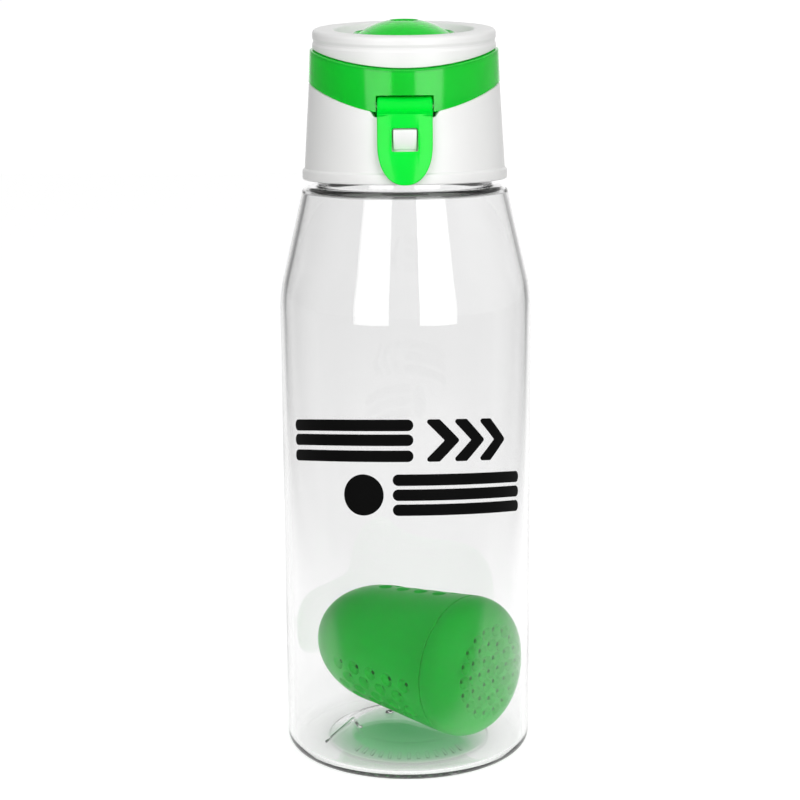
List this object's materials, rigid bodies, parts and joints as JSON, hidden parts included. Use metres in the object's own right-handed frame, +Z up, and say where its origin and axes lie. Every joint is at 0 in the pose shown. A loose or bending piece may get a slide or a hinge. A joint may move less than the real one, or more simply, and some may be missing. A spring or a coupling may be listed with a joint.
{
  "type": "water bottle",
  "caption": "Clear wide-mouth water bottle with a white screw collar, a latched green and white flip lid and a capsule-shaped fruit infuser inside.",
  "frame": {"origin": "centre of the bottle's footprint, on the surface that it stands on", "axes": "+Z up along the bottle's axis, -Y towards the front with the latch, +X to the right of someone facing the latch"},
  "size_m": [0.083, 0.083, 0.244],
  "materials": {
    "clear_copolyester": "clear blow-moulded copolyester, polished",
    "white_polypropylene": "satin moulded polypropylene",
    "clear_green_copolyester": "translucent green moulded plastic, polished",
    "matte_green_polypropylene": "matte moulded polypropylene",
    "silicone": "translucent silicone rubber",
    "stainless_steel": "drawn stainless wire"
  },
  "bodies": {
    "bottle": {"bottle_body": "clear_copolyester"},
    "gasket": {"neck_gasket": "silicone"},
    "collar": {"collar": "white_polypropylene", "hinge_pin": "stainless_steel"},
    "lid": {"lid_shell": "clear_green_copolyester", "lid_ring": "white_polypropylene", "lid_liner": "white_polypropylene", "spout_seal": "silicone", "latch_pin": "stainless_steel"},
    "latch": {"latch": "clear_green_copolyester"},
    "infuser": {"infuser_basket": "matte_green_polypropylene"},
    "infuser_cap": {"infuser_cap": "matte_green_polypropylene"}
  },
  "joints": [
    {"name": "collar_lift", "type": "slide", "parent": "bottle", "child": "gasket", "axis": [0, 0, 1], "range_m": [0, 0.008]},
    {"name": "collar_turn", "type": "hinge", "parent": "gasket", "child": "collar", "pos_m": [0, 0, 0.2], "axis": [0, 0, 1], "range_deg": [0, 720]},
    {"name": "lid_hinge", "type": "hinge", "parent": "collar", "child": "lid", "pos_m": [0, 0.0338, 0.2282], "axis": [-1, 0, 0], "range_deg": [0, 125]},
    {"name": "latch_hinge", "type": "hinge", "parent": "lid", "child": "latch", "pos_m": [0, -0.0276, 0.2168], "axis": [-1, 0, 0], "range_deg": [0, 66]},
    {"name": "infuser_float", "type": "slide", "parent": "bottle", "child": "infuser", "axis": [0, 0, 1], "range_m": [0, 0.09]},
    {"name": "infuser_twist", "type": "hinge", "parent": "infuser", "child": "infuser_cap", "pos_m": [-0.0006, 0.0022, 0.0312], "axis": [0.7547, -0.6561, 0], "range_deg": [0, 90]}
  ],
  "couplings": [
    {"joint": "collar_lift", "follows": "collar_turn", "m_per_rad": 0.00063662}
  ]
}
